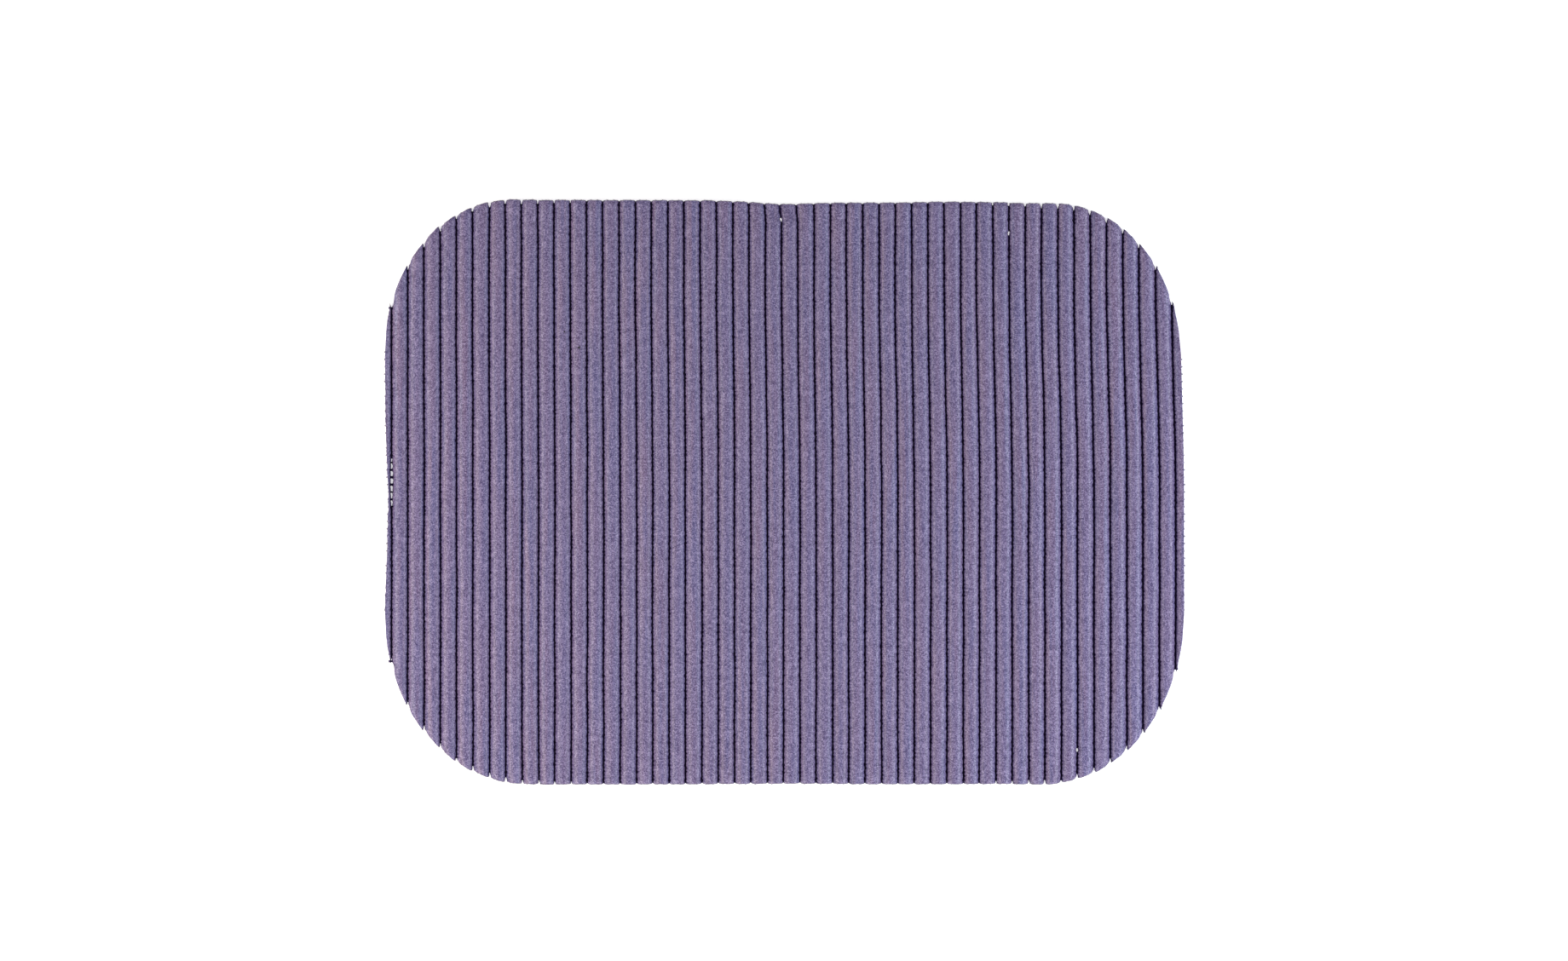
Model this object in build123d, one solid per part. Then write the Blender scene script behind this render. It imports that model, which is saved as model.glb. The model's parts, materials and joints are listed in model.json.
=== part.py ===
from build123d import *
import os

os.makedirs("parts", exist_ok=True)

# Kneeling pad of ribbed foam matting, cut to a rectangle with large rounded corners.
# X runs across the ribs, Y along them and +Z up. The origin is under the middle of the pad.
# All sizes are in millimetres.

# Driving dimensions of the cut pad
pad_width = 410.0
pad_length = 300.0
thickness = 7.5
rear_corner = (66.0, 77.0)
front_corner = (72.0, 87.0)

# Driving dimensions of the matting: the slivers reach from the pad's side to the first groove's middle
groove_count = 49
left_sliver = 3.4
right_sliver = 4.4
groove_gap = 0.8
crown_height = 1.3
shoulder_radius = 2.4
foot_radius = 1.2

# Worked out from the above
rib_count = groove_count + 1
rib_pitch = (pad_width - left_sliver - right_sliver) / (groove_count - 1)
rib_width = rib_pitch - groove_gap
shoulder_height = thickness - crown_height
first_groove_x = left_sliver - pad_width / 2


def corner_arc(x_sign, y_sign, radii, start_angle):
    """The quarter ellipse that rounds one corner, drawn anticlockwise."""
    x_radius, y_radius = radii
    centre = (x_sign * (pad_width / 2 - x_radius), y_sign * (pad_length / 2 - y_radius))
    return EllipticalCenterArc(centre, x_radius, y_radius, start_angle=start_angle, arc_size=90)


def pad_outline():
    """The face that the cutter stamps out of the matting, seen from above."""
    arcs = [
        corner_arc(1, -1, front_corner, 270),
        corner_arc(1, 1, rear_corner, 0),
        corner_arc(-1, 1, rear_corner, 90),
        corner_arc(-1, -1, front_corner, 180),
    ]
    sides = [Line(arc @ 1, following @ 0) for arc, following in zip(arcs, arcs[1:] + arcs[:1])]
    return make_face(Curve() + arcs + sides)


def rib_section():
    """One rib seen from its end: a flat foot, upright sides and a crowned top with round shoulders."""
    half = rib_width / 2
    foot = Line((-half, 0), (half, 0))
    right_side = Line((half, 0), (half, shoulder_height))
    crown = ThreePointArc((half, shoulder_height), (0, thickness), (-half, shoulder_height))
    left_side = Line((-half, shoulder_height), (-half, 0))
    face = make_face(Curve() + [foot, right_side, crown, left_side])
    face = fillet(face.vertices().group_by(Axis.Y)[0], foot_radius)
    return fillet(face.vertices().group_by(Axis.Y)[-1], shoulder_radius)


# The cutter reaches above the matting, and each strip of matting reaches past the pad's front and rear edges
section = Plane.XZ * rib_section()
cutter = extrude(pad_outline(), 2 * thickness)

for index in range(rib_count):
    rib_x = first_groove_x + (index - 0.5) * rib_pitch
    strip = extrude(Pos(rib_x, 0, 0) * section, pad_length, both=True)
    rib = strip & cutter
    rib.label = f"rib_{index + 1:02d}"
    export_step(rib, f"parts/{rib.label}.step")
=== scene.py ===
import json
import math

import bpy
import numpy as np
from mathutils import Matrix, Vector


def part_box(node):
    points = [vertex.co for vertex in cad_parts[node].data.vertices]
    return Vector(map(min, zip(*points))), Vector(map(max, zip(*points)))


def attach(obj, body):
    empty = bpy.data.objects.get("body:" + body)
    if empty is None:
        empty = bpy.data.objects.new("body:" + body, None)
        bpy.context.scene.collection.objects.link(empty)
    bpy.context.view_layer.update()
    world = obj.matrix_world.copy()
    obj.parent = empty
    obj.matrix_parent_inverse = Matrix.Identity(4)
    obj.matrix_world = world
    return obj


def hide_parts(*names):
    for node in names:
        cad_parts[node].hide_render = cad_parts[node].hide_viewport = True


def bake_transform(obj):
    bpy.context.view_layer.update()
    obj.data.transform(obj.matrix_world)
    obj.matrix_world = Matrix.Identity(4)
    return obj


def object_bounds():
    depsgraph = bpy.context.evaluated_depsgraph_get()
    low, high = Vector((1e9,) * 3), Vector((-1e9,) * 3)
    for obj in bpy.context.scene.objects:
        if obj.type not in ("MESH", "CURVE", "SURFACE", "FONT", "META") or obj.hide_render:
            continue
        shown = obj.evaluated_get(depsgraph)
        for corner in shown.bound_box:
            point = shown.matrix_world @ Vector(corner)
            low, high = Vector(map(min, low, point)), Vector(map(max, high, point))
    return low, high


# A kneeling pad of ribbed foam matting. Each rib of the imported model is replaced by a soft foam rib. The
# scrim's weft threads and a film of foam join each rib to the next at the foot of their groove.
# The scrim's warp yarns lie inside the ribs and show where the die has cut them.
# All lengths are in metres. X runs across the ribs, Y along them and Z up.

MM = 0.001
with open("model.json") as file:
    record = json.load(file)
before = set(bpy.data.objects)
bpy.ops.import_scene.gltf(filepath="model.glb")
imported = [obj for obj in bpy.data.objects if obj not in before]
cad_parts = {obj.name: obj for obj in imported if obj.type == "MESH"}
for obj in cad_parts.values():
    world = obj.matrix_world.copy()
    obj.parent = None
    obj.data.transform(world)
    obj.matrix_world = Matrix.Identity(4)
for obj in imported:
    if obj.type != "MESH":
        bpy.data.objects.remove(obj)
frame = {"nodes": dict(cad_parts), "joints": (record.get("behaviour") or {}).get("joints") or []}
cad_low, cad_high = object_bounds()

# ---------------------------------------------------------------- the frame's own sizes
RIBS = sorted(frame["nodes"])
JOINTS = sorted(frame["joints"], key=lambda joint: joint["pos_m"][0])
GROOVE_X = np.array([joint["pos_m"][0] for joint in JOINTS])
HINGE_Z = JOINTS[0]["pos_m"][2]
HALF_TURN = [math.radians(joint["range_deg"][1]) / 2 for joint in JOINTS]
PITCH = (GROOVE_X[-1] - GROOVE_X[0]) / (len(GROOVE_X) - 1)
TOP_Z = cad_high[2]
LEFT, RIGHT = cad_low[0], cad_high[0]
FRONT, REAR = cad_low[1], cad_high[1]

# ---------------------------------------------------------------- the cut outline
# Quarter ellipses at the corners, as x and y radii
REAR_CORNER = (66 * MM, 77 * MM)
FRONT_CORNER = (72 * MM, 87 * MM)
REAR_WANDER = 0.45 * MM    # how far the cut strays from its line
FRONT_WANDER = 0.4 * MM
REAR_STEP = 1.1 * MM       # the right half of the rear edge is cut this much further in
REAR_HOLLOW = 0.7 * MM     # and its middle this much more
WAIST = 1.8 * MM           # how far the left side bows inwards
WAIST_Y = -6 * MM
WAIST_LENGTH = 34 * MM
END_ROUNDING = 0.45 * MM   # at the corners of each rib's cut ends, seen from above
END_SLIP = 0.35 * MM       # how far a rib's ends stray from its neighbours', at the pad's corners
END_ROUGHNESS = 0.12 * MM
CUT_LEAN = 0.45 * MM       # the top of a cut end lies this much inside its foot
NOTCH = 0.5 * MM           # how far a groove's sides spring apart at its cut ends
NOTCH_DEPTH = 1.8 * MM

# ---------------------------------------------------------------- the foam
TOP_ROUNDNESS = 3.8        # superellipse power of a rib's top
FOOT_ROUNDNESS = 4.0       # and of its underside
GABLE = 0.27               # how fast the top falls away on each side of its crest, as a share of its height
CREST = 0.08               # the crest lies a little right of the rib's middle
CREST_ROUNDING = 0.1       # in half ribs, like the crest's place
TOP_ALLOWANCE = 0.25 * MM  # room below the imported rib's top for the foam's swells
SWELL = 0.16 * MM          # height of the broad swells along a rib
RIPPLE = 0.06 * MM         # and of the small ones
HALF_GAP = 0.03 * MM       # from the groove's middle to the foam on each side
GROOVE_DRAFT = 0.04        # how fast the foam on each side leans away from the groove, going up
TIGHT_DRAFT = 2.0          # how much faster it leans where the groove bends further than EASY_TURN
EASY_TURN = 0.12           # the tangent of half a groove's bend
LEFT_NICK = 0.55 * MM      # how far a nick goes into a rib's left flank
RIGHT_NICK = 0.40 * MM     # and a weft thread's dimple into its right flank
LEFT_SINK = 0.24 * MM      # how far they pull the shoulder down
RIGHT_SINK = 0.12 * MM
FOOT_NICK = 0.4            # the share of a nick that the foot has
CUT_SINK = 0.5 * MM        # how far the die presses the foam down at its cut
CUT_SINK_LENGTH = 1.3 * MM
DENT = 1.6 * MM            # the depth of the dent in the middle of the rear edge

SECTION_STEPS = 16         # faces across a rib's top
SHOULDER_CROWDING = 1.6    # how much closer they lie at its flanks than at its crest
STATION_STEP = 0.63 * MM   # length of the faces along a rib
CLOSE_STATIONS = np.array([0.35, 0.8]) * MM  # extra rows of points at this distance from each cut end
WALL_ROWS = 3              # rows of points on a sliver's cut side
# the last material number is the dark skin low in the grooves, which is painted shade
SKIN, CUT_FOAM, GROOVE_SHADE = 0, 1, 2        # the material numbers of a rib's faces

# Places where a groove opens right through: groove number from 0, y, half width and half length.
# A short one is a pinhole, where the weft thread is missing.
OPENINGS = [
    (0, 5 * MM, 0.38 * MM, 10 * MM),
    (0, -91 * MM, 0.38 * MM, 3 * MM),
    (0, 98 * MM, 0.38 * MM, 3 * MM),
    (24, 140 * MM, 0.34 * MM, 0.45 * MM),
    (38, 133 * MM, 0.32 * MM, 0.5 * MM),
    (42, -132.5 * MM, 0.32 * MM, 0.5 * MM),
]
PINHOLE = 1 * MM           # an opening shorter than this is a pinhole

# Bubbles that have burst in the skin: x, y and radius
BURST_BUBBLES = [
    (-105.3 * MM, 74.1 * MM, 0.60 * MM),
    (-112.8 * MM, 82.2 * MM, 0.38 * MM),
    (-186.7 * MM, -10.9 * MM, 0.42 * MM),
]

# ---------------------------------------------------------------- the scrim and the film of foam
WEFT_PITCH = 3.78 * MM
THREAD_RADIUS = 0.42 * MM
THREAD_FLATNESS = 1.6      # a coated thread's width over its height
THREAD_SIDES = 8
THREAD_INSET = 1 * MM      # no thread lies nearer than this to the ends of the film
# A thread from end to end: millimetres from the groove's middle, and thickness
THREAD_SHAPE = ((-1.6, 1), (-0.7, 1), (-0.25, 0.9), (0, 0.8), (0.25, 0.9), (0.7, 1), (1.6, 1))
FILM_THICKNESS = 0.3 * MM
FILM_REACH = 0.9 * MM      # from the groove's middle to the film's edge, inside the foam
FILM_PLACES = (-1, -0.3, 0.3, 1)  # where its points lie across it, in shares of its reach
FILM_STEP = 0.25 * WEFT_PITCH
FILM_INSET = 0.3 * MM      # it stops this far inside the cut ends of the ribs
FILM_TEARS = 0.12 * MM     # the half gap at which it is missing
YARN_RADIUS = 0.34 * MM
YARN_PLACES = (-0.42, 0.38)  # where the warp yarns lie across a rib, from -1 to 1
YARN_MARGIN = 0.1          # the least distance, on that scale, from a yarn to a sliver's cut side
YARN_STEP = 10 * MM
YARN_PROUD = 0.12 * MM     # how far a cut yarn stands out of the foam
WEFT_PROUD = 4.6           # how much further the weft's cut ends stand out, on average
WEFT_STRAY = 2.5           # and how much that varies
WEFT_ROOT = 1.2 * MM       # how far they go back into the foam

rng = np.random.default_rng(20)


# ---------------------------------------------------------------- small maths
def smooth(low, high, value):
    """0 below low, 1 above high, and an S-curve between them."""
    t = np.clip((value - low) / (high - low), 0, 1)
    return t * t * (3 - 2 * t)


def bell(value, centre, width):
    """1 at the centre, falling off on both sides."""
    return np.exp(-(((value - centre) / width) ** 2))


def lattice(i, j, seed):
    """A repeatable random number from -1 to 1 for each whole-number pair."""
    mixed = i.astype(np.int64) * 374761393 + j.astype(np.int64) * 668265263 + seed * 974634777
    mixed = (mixed ^ (mixed >> 13)) * 1274126177
    mixed = mixed ^ (mixed >> 16)
    return (mixed & 0xFFFF) / 32767.5 - 1


def single(i, j, seed):
    """The same for one pair of plain numbers."""
    return lattice(np.array([i]), np.array([j]), seed)[0]


def noise(x, y, cell_x, cell_y, seed):
    """Smooth value noise from -1 to 1, with cells of the given size."""
    u, v = x / cell_x, y / cell_y
    i, j = np.floor(u), np.floor(v)
    fu, fv = u - i, v - j
    fu, fv = fu * fu * (3 - 2 * fu), fv * fv * (3 - 2 * fv)
    near = lattice(i, j, seed) * (1 - fu) + lattice(i + 1, j, seed) * fu
    far = lattice(i, j + 1, seed) * (1 - fu) + lattice(i + 1, j + 1, seed) * fu
    return near * (1 - fv) + far * fv


def wave(along, cell, seed, lane=0):
    """Smooth noise from -1 to 1 along a line. Each whole-number lane has its own."""
    return noise(along, 0 * along + lane, cell, 1, seed)


# ---------------------------------------------------------------- the pad's plan
def corner_drop(x, radii):
    """How far the outline has left the straight front or rear edge at x."""
    rx, ry = radii
    inside = np.minimum(x - LEFT, RIGHT - x)
    t = np.clip(1 - np.clip(inside, 0, None) / rx, 0, 1)
    return ry * (1 - np.sqrt(1 - t * t))


def rear_edge(x):
    shallow = REAR_STEP * smooth(-45 * MM, 0, x) + REAR_HOLLOW * bell(x, 2 * MM, 14 * MM)
    return REAR - corner_drop(x, REAR_CORNER) - shallow + REAR_WANDER * wave(x, 45 * MM, seed=1)


def front_edge(x):
    return FRONT + corner_drop(x, FRONT_CORNER) + FRONT_WANDER * wave(x, 60 * MM, seed=2)


def cornered(x):
    """0 along the straight part of the front and rear edges, and 1 well into the corners."""
    return smooth(100 * MM, 150 * MM, abs(x))


GROOVE_OFFSET = rng.uniform(-1, 1, len(GROOVE_X) + 2) * 0.13 * MM


def groove_line(index, y):
    """The x of a groove at each y. Index -1 and the last one lie outside the pad."""
    first = GROOVE_X[0]
    base = first + index * PITCH
    line = base + GROOVE_OFFSET[index + 1] + 0.16 * MM * wave(y, 24 * MM, seed=3, lane=index)
    # the matting is a little narrower at the rear, which leans the right-hand ribs
    line = line - 0.0052 * (base - first) * smooth(0, 110 * MM, y)
    # a pinch in the middle of the rear edge
    pinch = 1.1 * MM * bell(base, 0, 13 * MM) * smooth(REAR - 13 * MM, REAR - 1 * MM, y)
    return line - pinch


def between_grooves(index, place, y):
    """The x of a place across a rib, from -1 at its left groove to 1 at its right one."""
    return groove_line(index - 1, y) * (1 - place) / 2 + groove_line(index, y) * (1 + place) / 2


def groove_gap(index, y):
    """From a groove's middle to the foam on each side."""
    gap = HALF_GAP * (1 + 0.6 * wave(y, 9 * MM, seed=9, lane=index))
    for groove, middle, half_width, half_length in OPENINGS:
        if groove == index:
            gap = gap + half_width * bell(y, middle, half_length)
    if 0 <= index < len(GROOVE_X):
        # the foam springs apart at the cut ends, most at the pad's corners
        x = GROOVE_X[index:index + 1]
        notch = NOTCH * (0.15 + 0.85 * cornered(x))
        gap = gap + notch * (bell(y, rear_edge(x), NOTCH_DEPTH) + bell(y, front_edge(x), NOTCH_DEPTH))
    return gap


def groove_draft(index):
    """How fast the foam leans away from a groove. One that bends further leans more."""
    turn = HALF_TURN[index] if 0 <= index < len(HALF_TURN) else 0
    return GROOVE_DRAFT + TIGHT_DRAFT * max(0, math.tan(turn) - EASY_TURN)


def left_waist(y):
    """How far the cut of the left-hand sliver bows inwards at y."""
    return WAIST * bell(y, WAIST_Y, WAIST_LENGTH)


def left_side(y):
    """The same with the cut's own raggedness."""
    return left_waist(y) + 0.25 * MM * wave(y, 16 * MM, seed=4) + 0.20 * MM * wave(y, 2.3 * MM, seed=14)


# ---------------------------------------------------------------- meshes
def build(name, vertices, faces, slots, materials, smooth_angle=48):
    """A mesh object with one material number for each face."""
    mesh = bpy.data.meshes.new(name)
    mesh.from_pydata(vertices, [], faces)
    for material in materials:
        mesh.materials.append(material)
    mesh.polygons.foreach_set("material_index", slots)
    mesh.shade_smooth()
    mesh.set_sharp_from_angle(angle=math.radians(smooth_angle))
    mesh.validate()
    obj = bpy.data.objects.new(name, mesh)
    bpy.context.scene.collection.objects.link(obj)
    return obj


# ---------------------------------------------------------------- the ribs
def rib_left(index):
    """The x of a rib's left groove, before it wanders."""
    return GROOVE_X[0] + (index - 1) * PITCH


def rib_across(index):
    """Where the section's points lie across a rib: -1 is its left flank and 1 its right flank."""
    low, high = -1.0, 1.0
    if index == 0:
        low = 2 * (LEFT - rib_left(index)) / PITCH - 1
    if index == len(GROOVE_X):
        high = 2 * (RIGHT - rib_left(index)) / PITCH - 1
    # the points are evenly spaced first, and then crowded towards the flanks
    even = [math.copysign(1 - (1 - abs(end)) ** (1 / SHOULDER_CROWDING), end) for end in (low, high)]
    steps = max(5, round(SECTION_STEPS * (even[1] - even[0]) / 2))
    even = np.linspace(even[0], even[1], steps + 1)
    return np.sign(even) * (1 - (1 - np.abs(even)) ** SHOULDER_CROWDING)


def nick_depths(row, width, index, seed):
    """Uneven dents from 0 to about 1, one at each whole number of row."""
    nearest = np.round(row)
    return bell(row, nearest, width) * (0.75 + 0.45 * lattice(nearest, 0 * nearest + index, seed))


def dimples(across, y, index):
    """How far the foam is pulled towards the rib's middle, from 0 to about 1, on its left and right flank.

    A weft thread goes in at each whole row. The left flank is nicked halfway between them too.
    """
    row = y / WEFT_PITCH + 0.13 * wave(y, 30 * MM, seed=5, lane=index)
    left = smooth(-0.45, -0.95, across) * nick_depths(2 * row, 0.32, index, seed=16)
    right = smooth(0.72, 1.0, across) * nick_depths(row, 0.19, index, seed=6)
    return left, right


def rib_surface(index, across, stations):
    """The rib's upper and lower surfaces as two arrays of points, [station, point across, xyz]."""
    middle_x = rib_left(index) + PITCH / 2
    plan_x = rib_left(index) + (across + 1) / 2 * PITCH
    rounding = END_ROUNDING * np.abs(across) ** 5
    slip = END_SLIP * (0.1 + 0.9 * cornered(middle_x)) * single(index, 0, seed=7)
    rough = END_ROUGHNESS * wave(plan_x, 1.4 * MM, seed=8)
    low_y = front_edge(plan_x) + rounding + slip + rough
    high_y = rear_edge(plan_x) - rounding + slip - rough
    share = stations[:, None]
    y = low_y + (high_y - low_y) * share
    u = across[None, :] + 0 * y

    # the cut leans, so the top is a little shorter than the foot
    lean = CUT_LEAN * (1 - 2 * smooth(0, 1, share))
    y_top = y + lean * (np.abs(2 * share - 1) ** 40)

    def place(y_here, nick):
        low_x = groove_line(index - 1, y_here) + groove_gap(index - 1, y_here)
        high_x = groove_line(index, y_here) - groove_gap(index, y_here)
        dip_left, dip_right = dimples(u, y_here, index)
        x = low_x * (1 - u) / 2 + high_x * (1 + u) / 2
        return x + LEFT_NICK * dip_left * nick - RIGHT_NICK * dip_right * nick, dip_left, dip_right

    dome = (1 - np.abs(u) ** TOP_ROUNDNESS) ** (1 / TOP_ROUNDNESS)
    dome = dome * (1 - GABLE * (np.sqrt((u - CREST) ** 2 + CREST_ROUNDING ** 2) - CREST_ROUNDING))
    foot = (1 - np.abs(u) ** FOOT_ROUNDNESS) ** (1 / FOOT_ROUNDNESS)
    x_top, dip_left, dip_right = place(y_top, 1.0)
    x_foot, _, _ = place(y, FOOT_NICK)

    tall = TOP_Z - HINGE_Z - TOP_ALLOWANCE
    tall = tall + SWELL * noise(x_top, y_top, 12 * MM, 30 * MM, seed=10)
    tall = tall + RIPPLE * noise(x_top, y_top, 2.6 * MM, 3.4 * MM, seed=11)
    tall = tall - LEFT_SINK * dip_left - RIGHT_SINK * dip_right
    to_end = np.minimum(y_top - y_top[:1], y_top[-1:] - y_top)
    tall = tall - CUT_SINK * bell(to_end, 0, CUT_SINK_LENGTH)
    tall = tall - DENT * bell(x_top, -1 * MM, 9 * MM) * bell(y_top, REAR - 5 * MM, 6 * MM)
    draft = np.where(u > 0, groove_draft(index), groove_draft(index - 1))
    x_top = x_top - draft * tall * dome * u * u * u
    upper = np.stack([x_top, y_top, HINGE_Z + tall * dome], axis=2)
    lower = np.stack([x_foot, y, HINGE_Z * (1 - foot)], axis=2)
    if index == 0:
        edge = smooth(1.0, across[0], u)
        for side in (upper, lower):
            side[:, :, 0] += left_side(side[:, :, 1]) * edge
    return upper, lower


def rib_ends(index, place):
    """The y of the rib's two cut ends at a place across it, at its foot."""
    lower = rib_surface(index, np.array([0.0, place]), np.array([0.0, 1.0]))[1]
    return lower[0, 1, 1], lower[1, 1, 1]


def wall(start, end):
    """The rows of points on a cut side, from its start to its end but without them."""
    shares = [(row + 1) / (WALL_ROWS + 1) for row in range(WALL_ROWS)]
    return [start * (1 - share) + end * share for share in shares]


def section_loops(upper, lower, cut_left, cut_right):
    """One loop of points for each station: over the top from left to right, and back along the foot."""
    points = upper.shape[1]
    columns = [upper[:, k] for k in range(points)]
    if cut_right:
        columns += wall(upper[:, -1], lower[:, -1]) + [lower[:, -1]]
    columns += [lower[:, k] for k in range(points - 2, 0, -1)]
    if cut_left:
        columns += [lower[:, 0]] + wall(lower[:, 0], upper[:, 0])
    return np.stack(columns, axis=1)


def side_slot(k, loop, points, cut_left, cut_right):
    """The material of the faces that follow the loop's point k along the rib."""
    on_right_cut = cut_right and points - 1 <= k <= points - 1 + WALL_ROWS
    on_left_cut = cut_left and k >= loop - WALL_ROWS - 1
    if on_right_cut or on_left_cut:
        return CUT_FOAM
    # the faces beside a groove take the groove's dark material, which is painted shade
    in_groove = (k == 0 and not cut_left) or (k == points - 2 and not cut_right)
    return GROOVE_SHADE if in_groove else SKIN


def end_rings(loop, points, cut_left, cut_right):
    """The faces of a cut end, as a strip between the top and the foot, in the loop's own numbers."""
    last_foot = points - 1 + (WALL_ROWS + 1 if cut_right else 0)
    foot = [last_foot + points - 1 - k for k in range(points)]
    if not cut_left:
        foot[0] = 0
    rings = []
    for k in range(points - 1):
        ring = [k, k + 1, foot[k + 1], foot[k]]
        if k == 0 and cut_left:
            ring += range(loop - WALL_ROWS, loop)
        if k == points - 2 and cut_right:
            ring[2:2] = range(points, points + WALL_ROWS)
        # at a flank the top and the foot share a point
        rings.append([n for place, n in enumerate(ring) if n != ring[place - 1]])
    return rings


def foam_rib(index, materials):
    """One closed foam rib: its skin, and the cut foam at its ends and, on the slivers, at its side."""
    name = RIBS[index]
    across = rib_across(index)
    cut_left, cut_right = across[0] > -1, across[-1] < 1
    low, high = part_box(name)
    length = high.y - low.y
    close = CLOSE_STATIONS / length
    stations = np.linspace(0, 1, round(length / STATION_STEP))
    stations = np.unique(np.concatenate([stations, close, 1 - close]))
    upper, lower = rib_surface(index, across, stations)
    points = len(across)
    loops = section_loops(upper, lower, cut_left, cut_right)
    count, loop = loops.shape[:2]

    faces, slots = [], []
    for k in range(loop):
        after = (k + 1) % loop
        slot = side_slot(k, loop, points, cut_left, cut_right)
        for station in range(count - 1):
            a, b = station * loop, (station + 1) * loop
            faces.append((a + k, a + after, b + after, b + k))
            slots.append(slot)
    last = (count - 1) * loop
    rings = end_rings(loop, points, cut_left, cut_right)
    faces += [tuple(reversed(ring)) for ring in rings]
    faces += [tuple(last + n for n in ring) for ring in rings]
    slots += [CUT_FOAM] * (2 * len(rings))
    obj = build(f"foam_{name}", loops.reshape(-1, 3), faces, slots, materials)
    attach(obj, name)
    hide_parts(name)
    return obj


# ---------------------------------------------------------------- threads, film and yarns
class Bars:
    """The vertices and faces of closed bars. Each bar is a list of rings of points."""

    def __init__(self):
        self.vertices = []
        self.faces = []

    def add(self, rings):
        base, sides = len(self.vertices), len(rings[0])
        self.faces.append(tuple(base + side for side in reversed(range(sides))))
        for ring in range(len(rings) - 1):
            a, b = base + ring * sides, base + (ring + 1) * sides
            self.faces += [(a + s, a + (s + 1) % sides, b + (s + 1) % sides, b + s) for s in range(sides)]
        end = base + (len(rings) - 1) * sides
        self.faces.append(tuple(end + side for side in range(sides)))
        for ring in rings:
            self.vertices += ring

    def build(self, name, material):
        return build(name, self.vertices, self.faces, [0] * len(self.faces), [material])


THREAD_ANGLES = [2 * math.pi * side / THREAD_SIDES for side in range(THREAD_SIDES)]


def ring_round_x(centre, width, height):
    """A ring of points round a thread that runs along X."""
    x, y, z = centre
    return [(x, y + width * math.cos(angle), z + height * math.sin(angle)) for angle in THREAD_ANGLES]


def ring_round_y(centre, radius):
    """A ring of points round a yarn that runs along Y."""
    x, y, z = centre
    return [(x - radius * math.cos(angle), y, z + radius * math.sin(angle)) for angle in THREAD_ANGLES]


def weft_rows(low_y, high_y):
    """The whole-number rows of the weft between two y."""
    return range(math.ceil(low_y / WEFT_PITCH), math.floor(high_y / WEFT_PITCH) + 1)


def thread_rings(index, row):
    """One weft thread, from the rib on the left of a groove to the rib on its right."""
    y = row * WEFT_PITCH
    x = groove_line(index, np.array([y]))[0]
    radius = THREAD_RADIUS * (1 + 0.2 * single(row, index, seed=12))
    return [
        ring_round_x((x + along * MM, y, HINGE_Z), THREAD_FLATNESS * radius * fat, radius * fat)
        for along, fat in THREAD_SHAPE
    ]


def film_rings(index, ys):
    """A strip of the film of foam, with one ring at each of ys."""
    up = FILM_THICKNESS / 2
    over = [(share * FILM_REACH, up) for share in FILM_PLACES]
    under = [(share * FILM_REACH, -up) for share in reversed(FILM_PLACES)]
    xs = groove_line(index, ys)
    return [[(x + dx, y, HINGE_Z + dz) for dx, dz in over + under] for x, y in zip(xs, ys)]


def weft(index, material):
    """The threads and the film of foam that join two ribs."""
    (low_a, high_a), (low_b, high_b) = rib_ends(index, 1.0), rib_ends(index + 1, -1.0)
    low_y, high_y = max(low_a, low_b) + FILM_INSET, min(high_a, high_b) - FILM_INSET
    pinholes = [y for groove, y, _, half_length in OPENINGS if groove == index and half_length < PINHOLE]
    bars = Bars()
    for row in weft_rows(low_y + THREAD_INSET, high_y - THREAD_INSET):
        if all(abs(row * WEFT_PITCH - y) > PINHOLE for y in pinholes):
            bars.add(thread_rings(index, row))
    ys = np.linspace(low_y, high_y, round((high_y - low_y) / FILM_STEP))
    whole = groove_gap(index, ys) < FILM_TEARS
    for run in np.split(np.arange(len(ys)), np.flatnonzero(np.diff(whole)) + 1):
        if whole[run[0]] and len(run) > 1:
            bars.add(film_rings(index, ys[run]))
    obj = bars.build(f"weft_{index + 1:02d}", material)
    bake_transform(obj)
    return obj


def warp_rings(index, place):
    """A warp yarn along the whole of one rib."""
    # it ends where the oblique cut reaches its inner side
    ends = [rib_ends(index, place + beside) for beside in (-0.08, 0, 0.08)]
    low_y = max(low for low, _ in ends) - YARN_PROUD
    high_y = min(high for _, high in ends) + YARN_PROUD
    ys = np.linspace(low_y, high_y, max(3, round((high_y - low_y) / YARN_STEP)))
    xs = between_grooves(index, place, ys)
    if index == 0:
        # the left side's waist bares this yarn
        xs = np.maximum(xs, LEFT + left_waist(ys) + 0.2 * MM)
    return [ring_round_y((x, y, HINGE_Z), YARN_RADIUS) for x, y in zip(xs, ys)]


def weft_end_bars(index):
    """The weft's cut ends in the cut side of the first or last rib, each as its rings."""
    outward = -1 if index == 0 else 1
    lower = rib_surface(index, rib_across(index), np.linspace(0, 1, 400))[1]
    edge = lower[:, 0] if index == 0 else lower[:, -1]
    bars = []
    for row in weft_rows(edge[0, 1], edge[-1, 1]):
        y = row * WEFT_PITCH
        x = np.interp(y, edge[:, 1], edge[:, 0])
        proud = YARN_PROUD * (WEFT_PROUD + WEFT_STRAY * single(row, index, seed=13))
        xs = sorted((x - outward * WEFT_ROOT, x, x + outward * proud))
        bars.append([ring_round_x((end, y, HINGE_Z), THREAD_RADIUS, THREAD_RADIUS) for end in xs])
    return bars


def yarns(index, material):
    """The warp yarns along one rib and, on the two cut ribs, the ends of the weft in the cut side."""
    across = rib_across(index)
    bars = Bars()
    for place in YARN_PLACES:
        if across[0] + YARN_MARGIN < place < across[-1] - YARN_MARGIN:
            bars.add(warp_rings(index, place))
    if index in (0, len(RIBS) - 1):
        for rings in weft_end_bars(index):
            bars.add(rings)
    obj = bars.build(f"yarn_{index + 1:02d}", material)
    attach(obj, RIBS[index])
    return obj


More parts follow.
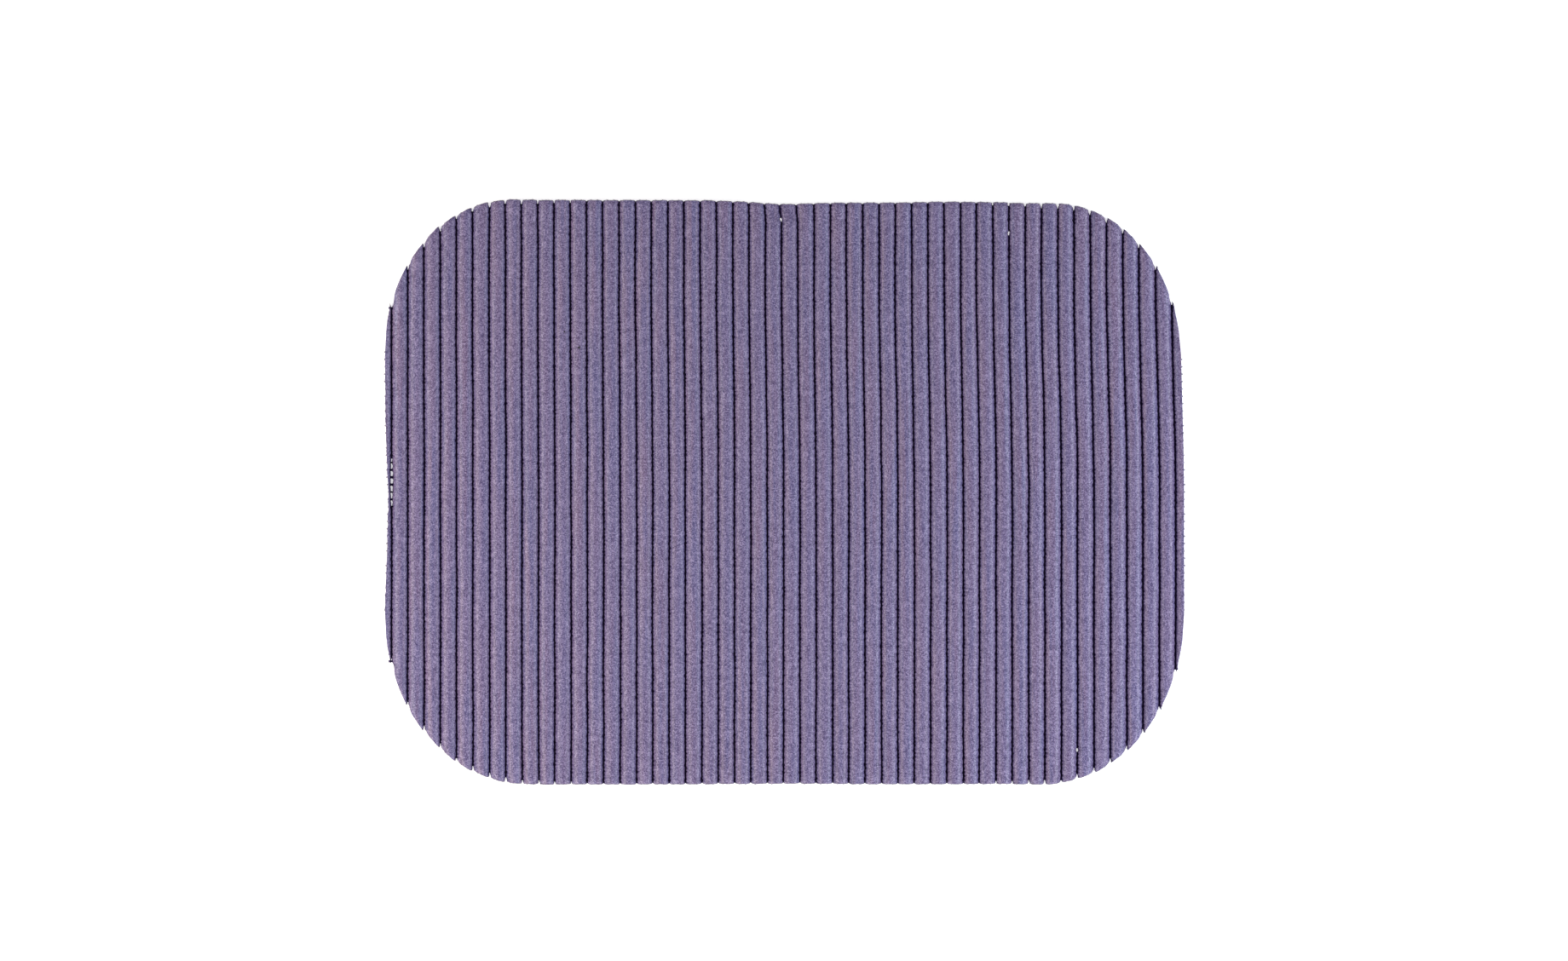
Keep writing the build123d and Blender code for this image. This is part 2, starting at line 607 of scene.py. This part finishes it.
# ---------------------------------------------------------------- materials
class Nodes:
    """A new material's node tree, with short calls to add nodes to it."""

    def __init__(self, name):
        self.material = bpy.data.materials.new(name)
        self.material.use_nodes = True
        self.tree = self.material.node_tree
        self.shader = self.tree.nodes["Principled BSDF"]
        self.point = self.tree.nodes.new("ShaderNodeTexCoord").outputs["Object"]

    def node(self, kind, **inputs):
        made = self.tree.nodes.new(kind)
        for name, value in inputs.items():
            self.set(made.inputs[name.replace("_", " ")], value)
        return made

    def set(self, socket, value):
        if isinstance(value, bpy.types.NodeSocket):
            self.tree.links.new(value, socket)
        else:
            socket.default_value = value

    def stretched(self, x, y, z):
        """The point, scaled by a number for each axis."""
        made = self.node("ShaderNodeVectorMath", Vector=self.point)
        made.operation = "MULTIPLY"
        made.inputs[1].default_value = (x, y, z)
        return made.outputs[0]

    def noise(self, scale, detail=2.0, roughness=0.5, vector=None):
        made = self.node(
            "ShaderNodeTexNoise", Vector=vector or self.point, Scale=scale, Detail=detail, Roughness=roughness
        )
        return made.outputs["Fac"]

    def cells(self, scale):
        """The distance to the nearest of many scattered points."""
        return self.node("ShaderNodeTexVoronoi", Vector=self.point, Scale=scale).outputs["Distance"]

    def ramp(self, value, low, high, start=0.0, end=1.0):
        """start below low, end above high, smooth between them."""
        made = self.node("ShaderNodeMapRange", Value=value)
        made.interpolation_type = "SMOOTHSTEP"
        for name, number in (("From Min", low), ("From Max", high), ("To Min", start), ("To Max", end)):
            made.inputs[name].default_value = number
        return made.outputs[0]

    def math(self, operation, a, b):
        made = self.node("ShaderNodeMath")
        made.operation = operation
        self.set(made.inputs[0], a)
        self.set(made.inputs[1], b)
        return made.outputs[0]

    def mix(self, share, a, b, blend="MIX"):
        made = self.tree.nodes.new("ShaderNodeMix")
        made.data_type = "RGBA"
        made.blend_type = blend
        self.set(made.inputs["Factor"], share)
        self.set(made.inputs[6], a)
        self.set(made.inputs[7], b)
        return made.outputs[2]

    def bump(self, height, strength, distance, normal=None):
        made = self.node("ShaderNodeBump", Height=height, Strength=strength, Distance=distance)
        if normal:
            self.set(made.inputs["Normal"], normal)
        return made.outputs[0]


# Noise scales are in cells per metre, so 1000 is about one grain for each millimetre.
VIOLET = (0.134, 0.100, 0.232, 1)
VIOLET_WARM = (0.170, 0.110, 0.216, 1)
VIOLET_COOL = (0.106, 0.098, 0.246, 1)
VIOLET_PALE = (0.440, 0.370, 0.600, 1)
VIOLET_DARK = (0.020, 0.005, 0.078, 1)
# the thread colours are darkened far below the foam's own as painted shade at the groove's foot
THREAD_DARK = (0.024, 0.007, 0.090, 1)
THREAD_PALE = (0.048, 0.024, 0.125, 1)
CELLS_DARK = (0.150, 0.130, 0.175, 1)
CELLS_PALE = (0.230, 0.205, 0.255, 1)
PORE = (0.055, 0.045, 0.075, 1)
# painted shade inside a burst bubble
HOLE = (0.004, 0.003, 0.008, 1)
FILAMENT_DARK = (0.30, 0.28, 0.34, 1)
FILAMENT_PALE = (0.55, 0.53, 0.58, 1)
PAPER_DARK = (0.93, 0.93, 0.93, 1)
PAPER_PALE = (0.95, 0.95, 0.95, 1)
WHITE = (1.0, 1.0, 1.0, 1)


def foam_skin():
    """The moulded skin: violet, satin and grained, with pale flecks and faint streaks along the ribs."""
    n = Nodes("foam_skin")
    streaks = n.noise(1.0, detail=2, vector=n.stretched(430, 17, 200))
    clouds = n.noise(1.0, detail=2, vector=n.stretched(118, 11, 50))
    mottle = n.noise(310, detail=2)
    grain = n.noise(980, detail=4, roughness=0.74)
    tooth = n.noise(1900, detail=2, roughness=0.6)
    flecks = n.cells(620)
    pits = n.cells(330)
    colour = n.mix(n.ramp(streaks, 0.34, 0.66), VIOLET_COOL, VIOLET_WARM)
    colour = n.mix(n.ramp(clouds, 0.30, 0.70, 0.0, 0.7), colour, VIOLET)
    colour = n.mix(n.ramp(mottle, 0.48, 0.70, 0.0, 0.18), colour, VIOLET_PALE)
    colour = n.mix(n.ramp(mottle, 0.50, 0.30, 0.0, 0.24), colour, VIOLET_DARK)
    colour = n.mix(n.ramp(grain, 0.50, 0.66, 0.0, 0.58), colour, VIOLET_PALE)
    colour = n.mix(n.ramp(grain, 0.50, 0.34, 0.0, 0.66), colour, VIOLET_DARK)
    colour = n.mix(n.ramp(tooth, 0.52, 0.68, 0.0, 0.66), colour, VIOLET_PALE)
    colour = n.mix(n.ramp(tooth, 0.48, 0.32, 0.0, 0.72), colour, VIOLET_DARK)
    colour = n.mix(n.ramp(flecks, 0.20, 0.09, 0.0, 0.45), colour, VIOLET_PALE)
    colour = n.mix(n.ramp(pits, 0.085, 0.050, 0.0, 0.6), colour, VIOLET_DARK)
    # each burst bubble is painted near black: painted shade inside the pit
    for x, y, radius in BURST_BUBBLES:
        away = n.node("ShaderNodeVectorMath", Vector=n.point)
        away.operation = "DISTANCE"
        away.inputs[1].default_value = (x, y, TOP_Z - 0.6 * MM)
        bubble_shade = n.ramp(away.outputs["Value"], 1.6 * radius, 0.8 * radius)
        colour = n.mix(bubble_shade, colour, HOLE)
    # painted shade: the skin is darkened down in the grooves, from the hinge plane up to where it turns over,
    # where the neighbouring ribs shade it
    height = n.node("ShaderNodeSeparateXYZ", Vector=n.point).outputs["Z"]
    above_foot = n.ramp(height, HINGE_Z - 0.6 * MM, HINGE_Z)
    below_shoulder = n.ramp(height, HINGE_Z + 2.8 * MM, HINGE_Z + 1.2 * MM)
    groove = n.math("MULTIPLY", above_foot, below_shoulder)
    colour = n.mix(n.math("MULTIPLY", groove, 0.95), colour, VIOLET_DARK)
    n.set(n.shader.inputs["Base Color"], colour)
    satin = n.ramp(grain, 0.3, 0.7, 0.60, 0.48)
    n.set(n.shader.inputs["Roughness"], n.math("ADD", satin, n.math("MULTIPLY", groove, 0.5)))
    n.shader.inputs["Specular IOR Level"].default_value = 0.5
    n.shader.inputs["Coat Weight"].default_value = 0.35
    n.shader.inputs["Coat Roughness"].default_value = 0.27
    n.shader.inputs["Sheen Weight"].default_value = 0.03
    n.shader.inputs["Sheen Roughness"].default_value = 0.5
    coarse = n.bump(n.noise(420, detail=2), 0.20, 0.20 * MM)
    fine = n.bump(grain, 0.50, 0.22 * MM, coarse)
    n.set(n.shader.inputs["Normal"], n.bump(pits, 0.25, 0.12 * MM, fine))
    return n.material


def painted_groove_shade():
    """The skin low in the grooves: dark as painted shade, dull and without the sheen of the rib tops."""
    n = Nodes("painted_groove_shade")
    grain = n.noise(1500, detail=3, roughness=0.6)
    n.set(n.shader.inputs["Base Color"], n.mix(n.ramp(grain, 0.35, 0.7, 0.0, 0.2), VIOLET_DARK, VIOLET))
    n.set(n.shader.inputs["Roughness"], n.ramp(grain, 0.3, 0.7, 1.0, 0.9))
    n.shader.inputs["Specular IOR Level"].default_value = 0.1
    n.set(n.shader.inputs["Normal"], n.bump(grain, 0.4, 0.15 * MM))
    return n.material


def cut_foam():
    """Foam opened by the die: greyer, with the open cells showing."""
    n = Nodes("cut_foam")
    pores = n.cells(1300)
    grain = n.noise(700, detail=3, roughness=0.6)
    colour = n.mix(n.ramp(grain, 0.35, 0.65), CELLS_DARK, CELLS_PALE)
    colour = n.mix(n.ramp(pores, 0.30, 0.10, 0.0, 0.75), colour, PORE)
    n.set(n.shader.inputs["Base Color"], colour)
    n.set(n.shader.inputs["Roughness"], n.ramp(pores, 0.1, 0.5, 0.95, 0.82))
    n.shader.inputs["Specular IOR Level"].default_value = 0.25
    n.set(n.shader.inputs["Normal"], n.bump(pores, 0.7, 0.3 * MM))
    return n.material


def coated_thread():
    """A weft thread, or the film between the threads: violet foam darkened nearly to black as painted shade
    at the groove's foot, with the thread's twist showing.
    """
    n = Nodes("coated_thread")
    twist = n.node("ShaderNodeTexWave", Vector=n.point, Scale=420.0, Distortion=2.0).outputs["Fac"]
    grain = n.noise(1200, detail=2)
    colour = n.mix(n.ramp(grain, 0.35, 0.65), THREAD_DARK, THREAD_PALE)
    n.set(n.shader.inputs["Base Color"], n.mix(n.ramp(twist, 0.5, 0.9, 0.0, 0.2), colour, VIOLET_PALE))
    n.shader.inputs["Specular IOR Level"].default_value = 0.15
    n.set(n.shader.inputs["Roughness"], n.ramp(grain, 0.3, 0.7, 0.9, 0.75))
    n.set(n.shader.inputs["Normal"], n.bump(twist, 0.4, 0.1 * MM, n.bump(grain, 0.4, 0.08 * MM)))
    return n.material


def polyester():
    """The scrim's yarn where the die has cut it: pale grey twisted filament."""
    n = Nodes("polyester")
    twist = n.node("ShaderNodeTexWave", Vector=n.point, Scale=900.0, Distortion=3.0).outputs["Fac"]
    colour = n.mix(n.ramp(twist, 0.2, 0.8), FILAMENT_DARK, FILAMENT_PALE)
    n.set(n.shader.inputs["Base Color"], colour)
    n.set(n.shader.inputs["Roughness"], n.ramp(twist, 0.2, 0.8, 0.75, 0.55))
    n.set(n.shader.inputs["Normal"], n.bump(twist, 0.5, 0.08 * MM))
    return n.material


def floor_paper():
    """Plain white paper with a faint tooth."""
    n = Nodes("floor_paper")
    tooth = n.noise(260, detail=3)
    n.set(n.shader.inputs["Base Color"], n.mix(tooth, PAPER_DARK, PAPER_PALE))
    n.shader.inputs["Roughness"].default_value = 0.9
    n.shader.inputs["Specular IOR Level"].default_value = 0.1
    # lit from below like a light table, so it shows white through the pad's pinholes
    n.shader.inputs["Emission Color"].default_value = WHITE
    n.shader.inputs["Emission Strength"].default_value = 0.6
    return n.material


# ---------------------------------------------------------------- camera, light and floor
VIEW_WIDTH = 0.8046        # metres of floor across the picture
VIEW_CENTRE = (-0.2 * MM, 5.9 * MM)  # the floor's x and y in the middle of the picture
CAMERA_HEIGHT = 6.0
SENSOR = 36.0              # millimetres
FLOOR_HALF = 6.0
FLOOR_STEPS = 4
SURROUND_STRENGTH = 0.30
# The soft boxes stand on each side of the pad, near its front
BOX_X, BOX_Y, BOX_Z = 0.56, -0.21, 0.40
BOX_SIZE = (0.14, 1.2)
BOX_POWER = 5.25           # watts
WARM_LIGHT = (1.0, 0.91, 0.84)
COOL_LIGHT = (0.86, 0.92, 1.0)


def add_camera():
    """Straight above the pad, with a long lens; the pad sits a little below the picture's middle."""
    data = bpy.data.cameras.new("camera")
    data.sensor_width = SENSOR
    data.lens = SENSOR * (CAMERA_HEIGHT - TOP_Z / 2) / VIEW_WIDTH
    data.clip_start = 0.1
    data.clip_end = 50
    camera = bpy.data.objects.new("camera", data)
    camera.location = (*VIEW_CENTRE, CAMERA_HEIGHT)
    bpy.context.scene.collection.objects.link(camera)
    bpy.context.scene.camera = camera


def add_box(name, x, colour):
    """A long soft box that faces the pad, its long side along Y."""
    data = bpy.data.lights.new(name, "AREA")
    data.shape = "RECTANGLE"
    data.size, data.size_y = BOX_SIZE
    data.energy = BOX_POWER
    data.color = colour
    light = bpy.data.objects.new(name, data)
    light.location = (x, BOX_Y, BOX_Z)
    light.rotation_mode = "QUATERNION"
    light.rotation_quaternion = (-light.location).to_track_quat("-Z", "X")
    light.visible_camera = False
    bpy.context.scene.collection.objects.link(light)


def add_stage():
    """White paper floor, a pale surround, and a soft box on each side."""
    line = np.linspace(-FLOOR_HALF, FLOOR_HALF, FLOOR_STEPS + 1)
    vertices = [(x, y, 0.0) for y in line for x in line]
    row = FLOOR_STEPS + 1
    faces = [
        (r * row + c, r * row + c + 1, (r + 1) * row + c + 1, (r + 1) * row + c)
        for r in range(FLOOR_STEPS)
        for c in range(FLOOR_STEPS)
    ]
    floor = build("floor", vertices, faces, [0] * len(faces), [floor_paper()])
    world = bpy.data.worlds.new("world")
    world.use_nodes = True
    back = world.node_tree.nodes["Background"]
    back.inputs["Color"].default_value = WHITE
    back.inputs["Strength"].default_value = SURROUND_STRENGTH
    bpy.context.scene.world = world
    add_box("left_box", -BOX_X, WARM_LIGHT)
    add_box("right_box", BOX_X, COOL_LIGHT)


# ---------------------------------------------------------------- making it
add_camera()
add_stage()
bpy.context.scene.view_settings.view_transform = "Standard"

foams = [foam_skin(), cut_foam(), painted_groove_shade()]
coated, filament = coated_thread(), polyester()
for rib_index in range(len(RIBS)):
    foam_rib(rib_index, foams)
    yarns(rib_index, filament)
for groove_index in range(len(GROOVE_X)):
    weft(groove_index, coated)
